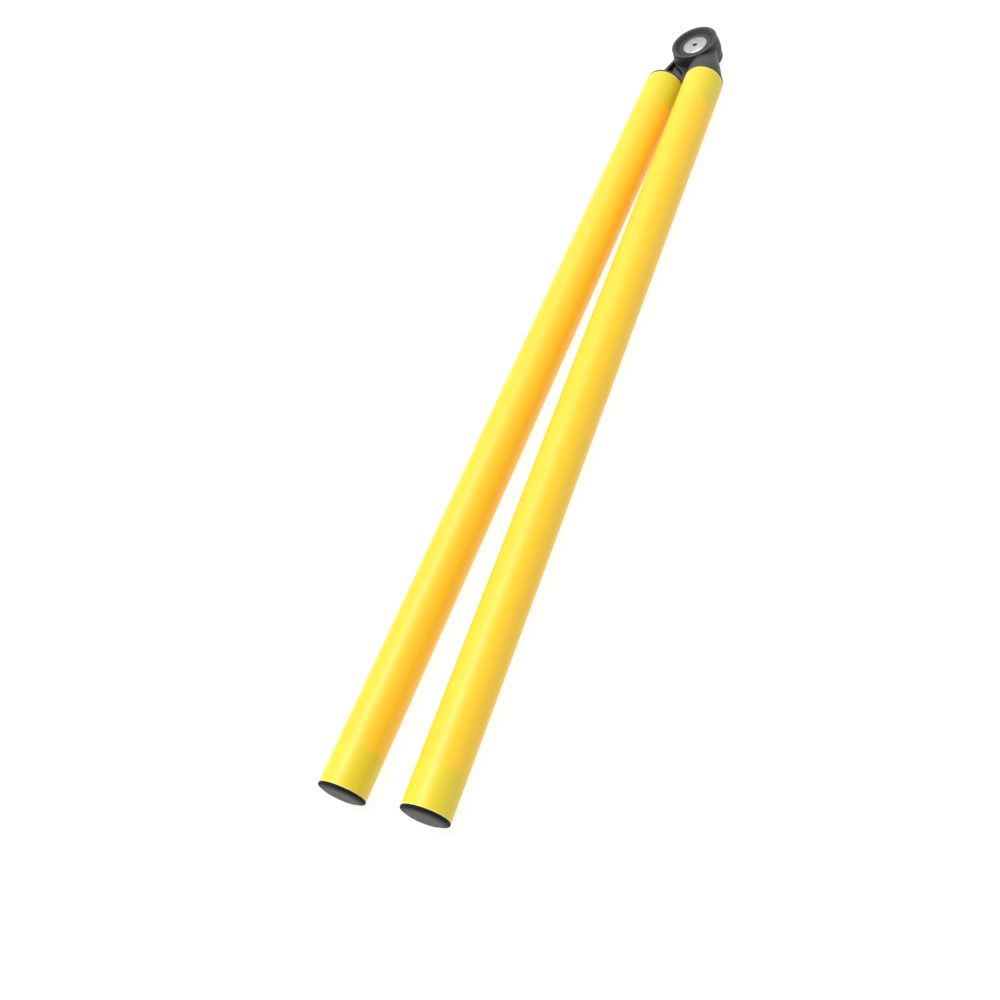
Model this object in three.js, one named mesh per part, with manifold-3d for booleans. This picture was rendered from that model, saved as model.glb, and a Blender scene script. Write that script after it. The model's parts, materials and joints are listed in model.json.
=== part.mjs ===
// Folding alignment stick: two hollow yellow tubes joined end to end by a riveted plastic hinge.
//
// Units are millimetres, +Z is up. The stick lies on the plane Z = 0 with its two tubes side by
// side, slightly open, and the hinge at the +Y end. The hinge axis is parallel to Z, halfway
// between the tubes, so the tubes lie parallel when folded and in one line when opened out.
//
// Both hinge leaves are the same moulding: the rear one is the front one turned over about Y.

import * as THREE from "three";
import { ConvexGeometry } from "three/addons/geometries/ConvexGeometry.js";
import { mergeVertices } from "three/addons/utils/BufferGeometryUtils.js";
import Module from "manifold-3d";

// ---------------------------------------------------------------- driving dimensions

// whole stick
const OPEN_LENGTH = 1000; // over both end caps, opened straight
const REST_OPENING = 2.5; // degrees between the tubes as the stick lies
const TUBE_SPACE = 1; // between the tubes when they are folded parallel

// tubes
const TUBE_DIAMETER = 23.5;
const TUBE_WALL = 2;

// clearances
const SLIP_GAP = 0.3; // radial, between a piece and the hole it sits or turns in
const SEAT_GAP = 0.3; // between two faces that rest on each other

// plugs, which both the leaves and the caps have
const PLUG_WALL = 1.8;
const PLUG_LEAD = 0.8; // chamfer that guides the plug into the tube
const GLUE_GROOVE_DEPTH = 0.5;
const GLUE_GROOVE_WIDTH = 1.6;
const LEAF_PLUG_LENGTH = 24;
const CAP_PLUG_LENGTH = 20;

// end cap
const CAP_THICKNESS = 2;
const CAP_SIDE_HEIGHT = 0.7; // straight side above the tube's end
const CAP_SHOULDER_HEIGHT = 1.1;
const CAP_SHOULDER_INSET = 0.55;
const CAP_FACE_INSET = 3.25; // from the tube's radius to the edge of the flat face

// hinge leaf: collar and neck
const COLLAR_INSET = 0.1; // how far the collar stays inside the tube's radius
const COLLAR_THICKNESS = 1.2;
const COLLAR_CHAMFER = 0.4; // of the collar's edge next to the tube
const COLLAR_TO_EYE = 15.54; // from the eye's edge to the face that the tube butts against
const NECK_INSET = 0.2; // how far the neck's root stays inside the tube's radius
const NECK_TIP_WIDTH = 10.3;
const NECK_TIP_HEIGHT = 3.2;
const NECK_TIP_SQUARENESS = 5; // 2 is an ellipse, more is squarer
const NECK_TIP_ANGLE = 12.5; // degrees below the eye's side where the outer flank ends
const NECK_WALL = 1.8;
const LEDGE_WIDTH = 0.5; // of the mating face outside the eye's foot

// hinge leaf: eye
const EYE_DIAMETER = 28.4;
const EYE_HEIGHT = 7.6; // from the plane between the leaves to the rim
const EYE_ROUNDING = 0.9; // of the rim's outer edge
const FOOT_WIDTH = 0.6; // how far the eye's wall spreads towards the mating face
const FOOT_HEIGHT = 0.8; // of the straight foot of the wall
const RIM_BAND = 2; // height of the straight wall under the rim
const RIM_WIDTH = 1; // of the level crest
const DISH_WIDTH = 2.4; // of the slope inside the rim
const DISH_DEPTH = 2.3;
const MATING_GAP = 0.3; // between the two leaves
const COUNTERBORE_DEPTH = 2.25; // below the dish, to the seat under the rivet's head
const COUNTERBORE_GAP = 0.36; // radial, round the rivet's head

// hinge stop: a lug on each leaf runs in an arc groove in the other
const STOP_CENTRE_RADIUS = 11.3;
const STOP_LUG_WIDTH = 2;
const STOP_LUG_ANGLE = 8; // degrees that the lug spans
const STOP_LUG_POSITION = 135; // degrees round from +X
const STOP_LUG_REACH = 1.25; // below the plane between the leaves
const STOP_GROOVE_FLOOR_GAP = 0.6;
const SWING = 180; // degrees from folded parallel to straight

// rivet and washers
const RIVET_HEAD_DIAMETER = 15.3;
const RIVET_HEAD_THICKNESS = 1.3;
const RIVET_HEAD_EDGE = 0.35;
const RIVET_BARREL_DIAMETER = 8;
const RIVET_POST_DIAMETER = 5.2;
const RIVET_DIMPLE_RADIUS = 1.6;
const RIVET_DIMPLE_DEPTH = 0.9;
const RIVET_END_SPACE = 0.6; // below the post, inside the barrel
const FRICTION_WASHER_THICKNESS = 1.3;
const FRICTION_WASHER_DIAMETER = 17.4;
const WAVE_WASHER_THICKNESS = 0.4;
const WAVE_WASHER_RISE = 0.1; // of each wave, up and down
const WAVE_WASHER_WAVES = 3;
const WAVE_WASHER_WIDTH = 2.6;

// how far a cutting solid runs past the face that it cuts, or a joined one into its neighbour
const OVERLAP = 1;

// how finely round shapes are divided
const TUBE_SIDES = 48;
const EYE_SIDES = 48;
const SECTION_STEPS = 14; // along the arch of the neck's cross-section
const ROUNDING_STEPS = 3;
const DEGREES_PER_ARC_STEP = 9;

// ---------------------------------------------------------------- sizes that follow

const tubeRadius = TUBE_DIAMETER / 2;
const boreRadius = tubeRadius - TUBE_WALL;
const plugRadius = boreRadius - SLIP_GAP;
const pivotOffset = (TUBE_DIAMETER + TUBE_SPACE) / 2; // from the hinge axis to each tube's axis

const eyeRadius = EYE_DIAMETER / 2;
const footRadius = eyeRadius + FOOT_WIDTH;
const ledgeRadius = footRadius + LEDGE_WIDTH;
const collarSeat = eyeRadius + COLLAR_TO_EYE; // from the hinge axis, along the stick
const tubeMouth = collarSeat + SEAT_GAP;
const capSeat = OPEN_LENGTH / 2 - CAP_THICKNESS;
const tubeEnd = capSeat - SEAT_GAP;

const matingFace = MATING_GAP / 2;
const washerRecess = FRICTION_WASHER_THICKNESS / 2 + SEAT_GAP; // height of the recess's floor
const washerRecessRadius = FRICTION_WASHER_DIAMETER / 2 + SLIP_GAP;
const headRadius = RIVET_HEAD_DIAMETER / 2;
const counterboreRadius = headRadius + COUNTERBORE_GAP;
const dishFloor = EYE_HEIGHT - DISH_DEPTH;
const counterboreFloor = dishFloor - COUNTERBORE_DEPTH;
const barrelRadius = RIVET_BARREL_DIAMETER / 2;
const postRadius = RIVET_POST_DIAMETER / 2;
const pinHoleRadius = barrelRadius + SLIP_GAP;
const waveWasherHeight = WAVE_WASHER_THICKNESS + 2 * WAVE_WASHER_RISE;
const headSeat = counterboreFloor + waveWasherHeight + 2 * SEAT_GAP;
const headTop = headSeat + RIVET_HEAD_THICKNESS;

// ---------------------------------------------------------------- materials

function material(color, roughness, metalness) {
  return new THREE.MeshStandardMaterial({ color, roughness, metalness });
}

const yellowPlastic = () => material("#ffd91a", 0.45, 0);
const blackPlastic = () => material("#2c2c2e", 0.5, 0);
const rivetSteel = () => material("#c9cacc", 0.3, 1);
const springSteel = () => material("#8d9094", 0.35, 1);
const whiteNylon = () => material("#e6e3da", 0.55, 0);

// ---------------------------------------------------------------- solids

const wasm = await Module();
wasm.setup();

// Turn a closed geometry into a solid that can be joined and cut.
function solid(geometry) {
  const bare = geometry.clone();
  bare.deleteAttribute("normal");
  bare.deleteAttribute("uv");
  const merged = mergeVertices(bare, 1e-4);
  const corners = merged.index.array;
  const triangles = [];
  for (let i = 0; i < corners.length; i += 3) {
    const [a, b, c] = [corners[i], corners[i + 1], corners[i + 2]];
    if (a !== b && b !== c && c !== a) triangles.push(a, b, c);
  }
  const mesh = new wasm.Mesh({
    numProp: 3,
    vertProperties: merged.attributes.position.array,
    triVerts: Uint32Array.from(triangles),
  });
  return new wasm.Manifold(mesh);
}

// Turn a solid back into a geometry.
function geometryOf(body) {
  const mesh = body.getMesh();
  const geometry = new THREE.BufferGeometry();
  geometry.setAttribute("position", new THREE.BufferAttribute(mesh.vertProperties, 3));
  geometry.setIndex(new THREE.BufferAttribute(mesh.triVerts, 1));
  geometry.computeVertexNormals();
  return geometry;
}

// Turn a profile of [radius, height] points about the Y axis. The outer wall runs upwards.
function turnedAboutY(profile, sides) {
  return new THREE.LatheGeometry(profile.map(([r, h]) => new THREE.Vector2(r, h)), sides);
}

// The same, about the Z axis.
function turnedAboutZ(profile, sides) {
  return turnedAboutY(profile, sides).rotateX(Math.PI / 2);
}

// A ring of rectangular section about the Z axis.
function ringProfile(inner, outer, low, high) {
  return [[inner, low], [outer, low], [outer, high], [inner, high], [inner, low]];
}

// A full cylinder about the Z axis.
function rodProfile(radius, low, high) {
  return [[0, low], [radius, low], [radius, high], [0, high]];
}

// A quarter round from the end of a straight side to a level top, bulging outwards.
function quarterRound(outerRadius, top, rounding) {
  const points = [];
  for (let i = 0; i <= ROUNDING_STEPS; i += 1) {
    const turn = (i / ROUNDING_STEPS) * (Math.PI / 2);
    points.push([
      outerRadius - rounding * (1 - Math.cos(turn)),
      top - rounding * (1 - Math.sin(turn)),
    ]);
  }
  return points;
}

// A piece of a ring about the Z axis, between two angles in degrees.
function ringSector(inner, outer, fromAngle, toAngle, low, high) {
  const from = THREE.MathUtils.degToRad(fromAngle);
  const to = THREE.MathUtils.degToRad(toAngle);
  const outline = new THREE.Shape();
  outline.absarc(0, 0, outer, from, to, false);
  outline.absarc(0, 0, inner, to, from, true);
  const curveSegments = Math.max(2, Math.ceil((toAngle - fromAngle) / DEGREES_PER_ARC_STEP));
  const geometry = new THREE.ExtrudeGeometry(outline, {
    depth: high - low,
    bevelEnabled: false,
    curveSegments,
  });
  return geometry.translate(0, 0, low);
}

// ---------------------------------------------------------------- pieces of one stick

// Outer wall of a plug, from its free end up to its seat, with two grooves for glue.
function plugWall(freeEnd, seat) {
  const wall = [[plugRadius - PLUG_LEAD, freeEnd], [plugRadius, freeEnd + PLUG_LEAD]];
  for (const share of [1 / 3, 2 / 3]) {
    const middle = freeEnd + (seat - freeEnd) * share;
    const low = middle - GLUE_GROOVE_WIDTH / 2;
    const high = middle + GLUE_GROOVE_WIDTH / 2;
    wall.push([plugRadius, low], [plugRadius - GLUE_GROOVE_DEPTH, low]);
    wall.push([plugRadius - GLUE_GROOVE_DEPTH, high], [plugRadius, high]);
  }
  wall.push([plugRadius, seat]);
  return wall;
}

// Hollow plug along Y with the given head on top, from its seat to the axis.
function pluggedProfile(seat, plugLength, head) {
  const hollow = plugRadius - PLUG_WALL;
  return [
    [0, seat],
    [hollow, seat],
    [hollow, seat - plugLength],
    ...plugWall(seat - plugLength, seat),
    ...head,
  ];
}

// Tube along -Y, from its mouth at the hinge to its far end.
function tubeGeometry() {
  return turnedAboutY(ringProfile(boreRadius, tubeRadius, -tubeEnd, -tubeMouth), TUBE_SIDES);
}

// Cap that closes the far end: a plug, a straight side, a sloping shoulder and a flat face.
function capGeometry() {
  const head = [
    [tubeRadius, 0],
    [tubeRadius, CAP_SIDE_HEIGHT],
    [tubeRadius - CAP_SHOULDER_INSET, CAP_SHOULDER_HEIGHT],
    [tubeRadius - CAP_FACE_INSET, CAP_THICKNESS],
    [0, CAP_THICKNESS],
  ];
  const geometry = turnedAboutY(pluggedProfile(0, CAP_PLUG_LENGTH, head), TUBE_SIDES);
  return geometry.rotateX(Math.PI).translate(0, -capSeat, 0);
}

// Arched cross-section of the neck, standing on the mating face.
function archPoints(left, right, y, height, squareness, low) {
  const points = [];
  const middle = (left + right) / 2;
  const halfWidth = (right - left) / 2;
  for (let i = 0; i <= SECTION_STEPS; i += 1) {
    const turn = (i / SECTION_STEPS) * Math.PI;
    const across = Math.sign(Math.cos(turn)) * Math.abs(Math.cos(turn)) ** (2 / squareness);
    const up = Math.sin(turn) ** (2 / squareness);
    points.push(new THREE.Vector3(middle + halfWidth * across, y, matingFace + height * up));
  }
  points.push(new THREE.Vector3(left, y, low), new THREE.Vector3(right, y, low));
  return points;
}

// Neck between collar and eye, smaller all round by the inset. It is round where it leaves the
// collar and squarer at its tip, which lies inside the eye.
function neckGeometry(inset, rootY, low) {
  const rootRadius = tubeRadius - NECK_INSET - inset;
  const tipAngle = THREE.MathUtils.degToRad(NECK_TIP_ANGLE);
  const tipRight = eyeRadius * Math.cos(tipAngle) - inset;
  const tipLeft = tipRight - NECK_TIP_WIDTH + 2 * inset;
  const tipY = -eyeRadius * Math.sin(tipAngle);
  const rootLeft = pivotOffset - rootRadius;
  const rootRight = pivotOffset + rootRadius;
  const rootHeight = rootRadius - matingFace;
  return new ConvexGeometry([
    ...archPoints(rootLeft, rootRight, rootY, rootHeight, 2, low),
    ...archPoints(tipLeft, tipRight, tipY, NECK_TIP_HEIGHT - inset, NECK_TIP_SQUARENESS, low),
  ]);
}

// Eye of the leaf: a dished ring with a rounded rim, a seat for the rivet's head and washer
// above, and a recess for the friction washer below.
function eyeProfile() {
  const crestInner = eyeRadius - EYE_ROUNDING - RIM_WIDTH;
  return [
    [pinHoleRadius, washerRecess],
    [washerRecessRadius, washerRecess],
    [washerRecessRadius, matingFace],
    [footRadius, matingFace],
    [footRadius, matingFace + FOOT_HEIGHT],
    [eyeRadius, EYE_HEIGHT - RIM_BAND],
    ...quarterRound(eyeRadius, EYE_HEIGHT, EYE_ROUNDING),
    [crestInner, EYE_HEIGHT],
    [crestInner - DISH_WIDTH, dishFloor],
    [counterboreRadius, dishFloor],
    [counterboreRadius, counterboreFloor],
    [pinHoleRadius, counterboreFloor],
    [pinHoleRadius, washerRecess],
  ];
}

// The whole leaf, with its tube along -Y at X = pivotOffset and the hinge axis on Z.
function leafGeometry() {
  const collarRadius = tubeRadius - COLLAR_INSET;
  const collar = [
    [collarRadius - COLLAR_CHAMFER, -collarSeat],
    [collarRadius, COLLAR_CHAMFER - collarSeat],
    [collarRadius, COLLAR_THICKNESS - collarSeat],
    [0, COLLAR_THICKNESS - collarSeat],
  ];
  const plugProfile = pluggedProfile(-collarSeat, LEAF_PLUG_LENGTH, collar);
  const plug = solid(turnedAboutY(plugProfile, TUBE_SIDES).translate(pivotOffset, 0, 0));

  const rod = (radius) => rodProfile(radius, -2 * OVERLAP, EYE_HEIGHT + OVERLAP);
  const insideEye = solid(turnedAboutZ(rod(eyeRadius - OVERLAP), EYE_SIDES));
  const insideLedge = solid(turnedAboutZ(rod(ledgeRadius), EYE_SIDES));
  const rootY = COLLAR_THICKNESS - collarSeat;
  const neck = solid(neckGeometry(0, rootY - COLLAR_THICKNESS / 2, matingFace));
  const pocket = solid(neckGeometry(NECK_WALL, rootY, -OVERLAP)).subtract(insideLedge);
  const eye = solid(turnedAboutZ(eyeProfile(), EYE_SIDES));

  const lugInner = STOP_CENTRE_RADIUS - STOP_LUG_WIDTH / 2;
  const lugOuter = STOP_CENTRE_RADIUS + STOP_LUG_WIDTH / 2;
  const halfLug = STOP_LUG_ANGLE / 2;
  const lug = solid(ringSector(lugInner, lugOuter, STOP_LUG_POSITION - halfLug,
    STOP_LUG_POSITION + halfLug, -STOP_LUG_REACH, matingFace + OVERLAP));

  const grooveMiddle = STOP_LUG_POSITION - 180;
  const endSpace = THREE.MathUtils.radToDeg(SLIP_GAP / lugInner);
  const halfGroove = SWING / 2 + halfLug + endSpace;
  const grooveFloor = STOP_LUG_REACH + STOP_GROOVE_FLOOR_GAP;
  const groove = solid(ringSector(lugInner - SLIP_GAP, lugOuter + SLIP_GAP,
    grooveMiddle - halfGroove, grooveMiddle + halfGroove, -OVERLAP, grooveFloor));

  return geometryOf(neck.subtract(insideEye).subtract(pocket).add(plug).add(eye)
    .subtract(groove).add(lug));
}

// ---------------------------------------------------------------- rivet and washers

// Head of either rivet half, from its underside's edge up to the dimple on the axis.
function rivetHead() {
  return [
    [headRadius, headSeat],
    ...quarterRound(headRadius, headTop, RIVET_HEAD_EDGE),
    [RIVET_DIMPLE_RADIUS, headTop],
    [0, headTop - RIVET_DIMPLE_DEPTH],
  ];
}

// Front half of the rivet: head and solid post.
function rivetPostGeometry() {
  const postEnd = RIVET_END_SPACE - headSeat;
  return turnedAboutZ([[0, postEnd], [postRadius, postEnd], [postRadius, headSeat],
    ...rivetHead()], EYE_SIDES);
}

// Rear half of the rivet: head and hollow barrel, drawn with its head up and turned over.
function rivetBarrelGeometry() {
  const barrelEnd = SEAT_GAP - headSeat;
  const hollowRadius = postRadius + SLIP_GAP;
  const profile = [[0, headSeat], [hollowRadius, headSeat], [hollowRadius, barrelEnd],
    [barrelRadius, barrelEnd], [barrelRadius, headSeat], ...rivetHead()];
  return turnedAboutZ(profile, EYE_SIDES).rotateX(Math.PI);
}

function frictionWasherGeometry() {
  const half = FRICTION_WASHER_THICKNESS / 2;
  return turnedAboutZ(
    ringProfile(pinHoleRadius, FRICTION_WASHER_DIAMETER / 2, -half, half), EYE_SIDES);
}

// Spring washer under a rivet head: a flat ring bent up and down round its circle.
function waveWasherGeometry() {
  const low = counterboreFloor + SEAT_GAP + WAVE_WASHER_RISE;
  const geometry = turnedAboutZ(ringProfile(pinHoleRadius, pinHoleRadius + WAVE_WASHER_WIDTH,
    low, low + WAVE_WASHER_THICKNESS), EYE_SIDES);
  const position = geometry.attributes.position;
  for (let i = 0; i < position.count; i += 1) {
    const angle = Math.atan2(position.getY(i), position.getX(i));
    const rise = WAVE_WASHER_RISE * Math.cos(WAVE_WASHER_WAVES * angle);
    position.setZ(i, position.getZ(i) + rise);
  }
  return geometry;
}

// ---------------------------------------------------------------- assembly

function named(name, geometry, meshMaterial) {
  const mesh = new THREE.Mesh(geometry, meshMaterial);
  mesh.name = name;
  return mesh;
}

// One stick in folded position: its tube along -Y at X = pivotOffset.
function stick(side) {
  const group = new THREE.Group();
  const tube = named(`${side}_tube`, tubeGeometry(), yellowPlastic());
  const cap = named(`${side}_end_cap`, capGeometry(), blackPlastic());
  tube.position.x = pivotOffset;
  cap.position.x = pivotOffset;
  group.add(tube, cap, named(`${side}_hinge_leaf`, leafGeometry(), blackPlastic()));
  return group;
}

const halfOpening = THREE.MathUtils.degToRad(REST_OPENING / 2);

const front = new THREE.Group();
const rearWasher = named("rear_wave_washer", waveWasherGeometry(), springSteel());
rearWasher.rotation.x = Math.PI;
front.add(
  stick("front"),
  named("rivet_post", rivetPostGeometry(), rivetSteel()),
  named("rivet_barrel", rivetBarrelGeometry(), rivetSteel()),
  named("friction_washer", frictionWasherGeometry(), whiteNylon()),
  named("front_wave_washer", waveWasherGeometry(), springSteel()),
  rearWasher,
);
front.rotation.z = halfOpening;

const turnedOver = stick("rear");
turnedOver.rotation.y = Math.PI;
const rear = new THREE.Group();
rear.add(turnedOver);
rear.rotation.z = -halfOpening;

const sticks = new THREE.Group();
sticks.add(front, rear);

// Stand the stick on Z = 0, centred on the origin in X and Y.
const extent = new THREE.Box3().setFromObject(sticks, true);
const centre = extent.getCenter(new THREE.Vector3());
sticks.position.set(-centre.x, -centre.y, -extent.min.z);

const alignmentStick = new THREE.Group();
alignmentStick.add(sticks);

export default alignmentStick;
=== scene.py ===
import json
import math

import bpy
import numpy as np
from mathutils import Matrix, Vector


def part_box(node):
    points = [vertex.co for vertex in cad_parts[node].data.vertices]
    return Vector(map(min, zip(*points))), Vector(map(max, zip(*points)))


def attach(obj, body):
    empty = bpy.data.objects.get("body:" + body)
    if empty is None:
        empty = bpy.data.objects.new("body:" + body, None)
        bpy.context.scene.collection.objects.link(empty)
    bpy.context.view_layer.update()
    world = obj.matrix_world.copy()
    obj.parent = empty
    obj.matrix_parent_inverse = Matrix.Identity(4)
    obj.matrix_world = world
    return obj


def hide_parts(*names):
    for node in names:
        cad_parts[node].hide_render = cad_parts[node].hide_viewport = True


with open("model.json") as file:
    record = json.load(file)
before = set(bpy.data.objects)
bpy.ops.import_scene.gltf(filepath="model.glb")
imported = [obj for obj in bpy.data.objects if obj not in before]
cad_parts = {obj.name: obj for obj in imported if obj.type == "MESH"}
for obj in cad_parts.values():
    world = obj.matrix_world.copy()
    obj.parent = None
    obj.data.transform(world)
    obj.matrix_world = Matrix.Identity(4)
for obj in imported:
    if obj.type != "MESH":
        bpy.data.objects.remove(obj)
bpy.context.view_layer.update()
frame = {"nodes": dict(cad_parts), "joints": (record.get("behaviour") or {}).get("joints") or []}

# Folding alignment stick: two yellow plastic tubes on a riveted black hinge, on a pale floor.
#
# Sizes here are millimetres in a stick's own directions unless they say otherwise. The origin
# is on the hinge axis, halfway between the two leaves. +Y runs from the tube to the hinge, +Z is
# up, and +X points away from the other stick. The rear stick is the front one turned half round
# about Y, so both are made by the same functions.

MM = 0.001  # metres

# ---------------------------------------------------------------- places from the frame

hinge = frame["joints"][0]
half_opening = math.radians(-hinge["range_deg"][0]) / 2
washer_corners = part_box("friction_washer")
pivot = (washer_corners[0] + washer_corners[1]) / 2
SIDES = {"front": ("front_stick", 1), "rear": ("rear_stick", -1)}


def to_scene(rows, side, place=True):
    """Points of a stick in scene metres: the rear one is turned half round about Y, each is
    swung outwards by half the opening, and the hinge axis goes to the pivot. With place=False
    the rows are directions, which are only turned."""
    turn = SIDES[side][1]
    cos, sin = math.cos(half_opening), math.sin(half_opening)
    x, y, z = turn * rows[:, 0], rows[:, 1], turn * rows[:, 2]
    turned_rows = np.stack([x * cos - y * turn * sin, x * turn * sin + y * cos, z], 1)
    return turned_rows * MM + np.array(pivot) if place else turned_rows


def to_stick(rows, side):
    """Scene metres as points of a stick: the same steps backwards."""
    turn = SIDES[side][1]
    cos, sin = math.cos(half_opening), math.sin(half_opening)
    x, y, z = ((rows - np.array(pivot)) / MM).T
    return np.stack([turn * (x * cos + y * turn * sin), y * cos - x * turn * sin, turn * z], 1)


def span(node, side="front"):
    """Lowest and highest corner of a CAD node in its stick's own directions."""
    mesh = frame["nodes"][node].data
    flat = np.empty(len(mesh.vertices) * 3)
    mesh.vertices.foreach_get("co", flat)
    rows = to_stick(flat.reshape(-1, 3), side)
    return rows.min(0), rows.max(0)


tube_low, tube_high = span("front_tube")
cap_low, cap_high = span("front_end_cap")
leaf_low, leaf_high = span("front_hinge_leaf")
post_low, post_high = span("rivet_post")
barrel_low = span("rivet_barrel", "rear")[0]
washer_high = span("friction_washer")[1]
spring_low, spring_high = span("front_wave_washer")

TUBE_RADIUS = (tube_high[2] - tube_low[2]) / 2
TUBE_AXIS = (tube_high[0] + tube_low[0]) / 2  # distance from the hinge axis
MOUTH = tube_high[1]
TUBE_END = tube_low[1]
STICK_END = cap_low[1]
HEAD_RADIUS = post_high[0]
HEAD_TOP = post_high[2]
WASHER_RADIUS = washer_high[0]
WASHER_HALF = washer_high[2]

# ---------------------------------------------------------------- sizes of the moulded pieces

TUBE_WALL = 2.0
SLIP_GAP = 0.3  # between pieces that fit together
MOULD_WALL = 1.8
CHAMFER = 0.8

BORE_RADIUS = TUBE_RADIUS - TUBE_WALL
PLUG_RADIUS = BORE_RADIUS - SLIP_GAP
PLUG_HOLLOW = PLUG_RADIUS - MOULD_WALL
COLLAR_SEAT = MOUTH + SLIP_GAP
COLLAR_TOP = COLLAR_SEAT + 1.2
LEAF_PLUG_END = leaf_low[1]
CAP_SEAT = TUBE_END - SLIP_GAP
CAP_PLUG_END = cap_high[1]

# The eye's wall is widest at its foot, where it meets the other leaf.
ROUNDING_ROOM = 0.01
FOOT_RADIUS = leaf_high[1] - ROUNDING_ROOM
FOOT_HEIGHT = 0.8
EYE_RADIUS = FOOT_RADIUS - 0.6
EYE_TOP = 7.6
RIM_WIDTH = 1.8
RIM_GROOVE_DEPTH = 0.3
DISH_SLOPE = 2.4
DISH_FLOOR = 5.3
MATING_FACE = 0.15
WASHER_SEAT = 0.95
COUNTERBORE_RADIUS = HEAD_RADIUS + 0.36
COUNTERBORE_FLOOR = 3.05
PIN_HOLE_RADIUS = 4.3
BARREL_RADIUS = 4.0
POST_RADIUS = 2.6
HEAD_SEAT = HEAD_TOP - 1.3
HEAD_CROWN = 0.18
DIMPLE_RADIUS = 1.6
DIMPLE_DEPTH = 0.9

# Glue grooves round a plug, at a third and two thirds of its length.
GLUE_GROOVES = (1 / 3, 2 / 3)
GLUE_GROOVE_DEPTH = 0.5
GLUE_GROOVE_HALF = 0.8

# ---------------------------------------------------------------- turned pieces


def piece(name, points, normals, faces, side, node, material):
    """Mesh object from stick-space points, normals and index rows, standing for a CAD node."""
    mesh = bpy.data.meshes.new(name)
    mesh.from_pydata(to_scene(points, side).tolist(), [], faces)
    mesh.polygons.foreach_set("use_smooth", np.ones(len(mesh.polygons), bool))
    mesh.normals_split_custom_set_from_vertices(to_scene(normals, side, place=False))
    mesh.update()
    made = bpy.data.objects.new(name, mesh)
    bpy.context.scene.collection.objects.link(made)
    made.data.materials.append(material)
    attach(made, SIDES[side][0])
    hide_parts(node)
    return made


def rounded(corners, steps=5):
    """Outline through (radius, height, rounding) corners: each corner becomes a quadratic curve
    from one side to the other, which starts where an arc of that rounding would touch."""
    spots = np.array([c[:2] for c in corners], float)
    closed = np.allclose(spots[0], spots[-1])
    count = len(spots) - 1 if closed else len(spots)
    out = []
    for i in range(count):
        here, rounding = spots[i], corners[i][2]
        if rounding == 0 or (not closed and i in (0, count - 1)):
            out.append(here)
            continue
        back = spots[(i - 1) % count] - here
        ahead = spots[(i + 1) % count] - here
        back_length, ahead_length = np.linalg.norm(back), np.linalg.norm(ahead)
        back, ahead = back / back_length, ahead / ahead_length
        half_angle = math.acos(np.clip(back @ ahead, -1, 1)) / 2
        reach = rounding / math.tan(half_angle)
        reach = min(reach, 0.49 * back_length, 0.49 * ahead_length)
        for t in np.linspace(0, 1, steps + 1):
            curve = (1 - t) ** 2 * (here + back * reach) + 2 * t * (1 - t) * here
            out.append(curve + t ** 2 * (here + ahead * reach))
    if closed:
        out.append(out[0])
    return np.array(out)


def turned(outline, around):
    """Surface of revolution about Y: each (radius, height) row becomes a ring of points at
    radius times (sin, cos) of the angle, or one point if it is on the axis. A ring's normal is
    the mean of its two sides' normals, weighted by their lengths, so flat faces stay flat. The
    outer wall runs upwards. An outline that ends where it began closes on itself."""
    closed = np.allclose(outline[0], outline[-1])
    rows = outline[:-1] if closed else outline
    sides = np.diff(outline, axis=0)
    across = np.stack([sides[:, 1], -sides[:, 0]], 1)
    if closed:
        normal = across + np.roll(across, 1, axis=0)
    else:
        normal = np.concatenate([across, across[-1:]]) + np.concatenate([across[:1], across])
        normal[rows[:, 0] < 1e-6, 0] = 0
    normal /= np.linalg.norm(normal, axis=1)[:, None]
    angle = np.linspace(0, 2 * math.pi, around, endpoint=False)
    size = np.where(rows[:, 0] < 1e-6, 1, around)
    start = np.concatenate([[0], np.cumsum(size)[:-1]])
    row = np.repeat(np.arange(len(rows)), size)
    spin = angle[np.arange(len(row)) - start[row]]
    sin, cos = np.sin(spin), np.cos(spin)
    points = np.stack([rows[row, 0] * sin, rows[row, 1], rows[row, 0] * cos], 1)
    normals = np.stack([normal[row, 0] * sin, normal[row, 1], normal[row, 0] * cos], 1)
    ring = start[:, None] + np.where(size[:, None] == 1, 0, np.arange(around))
    low, high = ring, np.roll(ring, -1, axis=0)
    if not closed:
        low, high = ring[:-1], ring[1:]
    quads = np.stack([low, np.roll(low, -1, 1), np.roll(high, -1, 1), high], 2).reshape(-1, 4)
    faces = [list(dict.fromkeys(quad)) for quad in quads.tolist()]
    return points, normals, faces


def upright(rows):
    """Points or directions turned a quarter about X, which stands the Y axis up along Z."""
    return np.stack([rows[:, 0], -rows[:, 2], rows[:, 1]], 1)


# ---------------------------------------------------------------- moulded leaves, as fields
# A field holds at each point the distance in mm to a solid's surface, negative inside it.


def outline_distance(across, along, outline):
    """Distance in a plane to a closed outline: the least distance to any of its sides, negative
    where a line from the point to one side of it crosses the outline an odd number of times."""
    best = np.full(across.shape, np.inf)
    inside = np.zeros(across.shape, bool)
    for (ax, ay), (bx, by) in zip(outline[:-1], outline[1:]):
        dx, dy = bx - ax, by - ay
        share = np.clip(((across - ax) * dx + (along - ay) * dy) / (dx * dx + dy * dy), 0, 1)
        best = np.minimum(best, np.hypot(across - ax - share * dx, along - ay - share * dy))
        if dy:
            level = (ay > along) != (by > along)
            inside ^= level & (across < ax + (along - ay) * dx / dy)
    return np.where(inside, -best, best)


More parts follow.
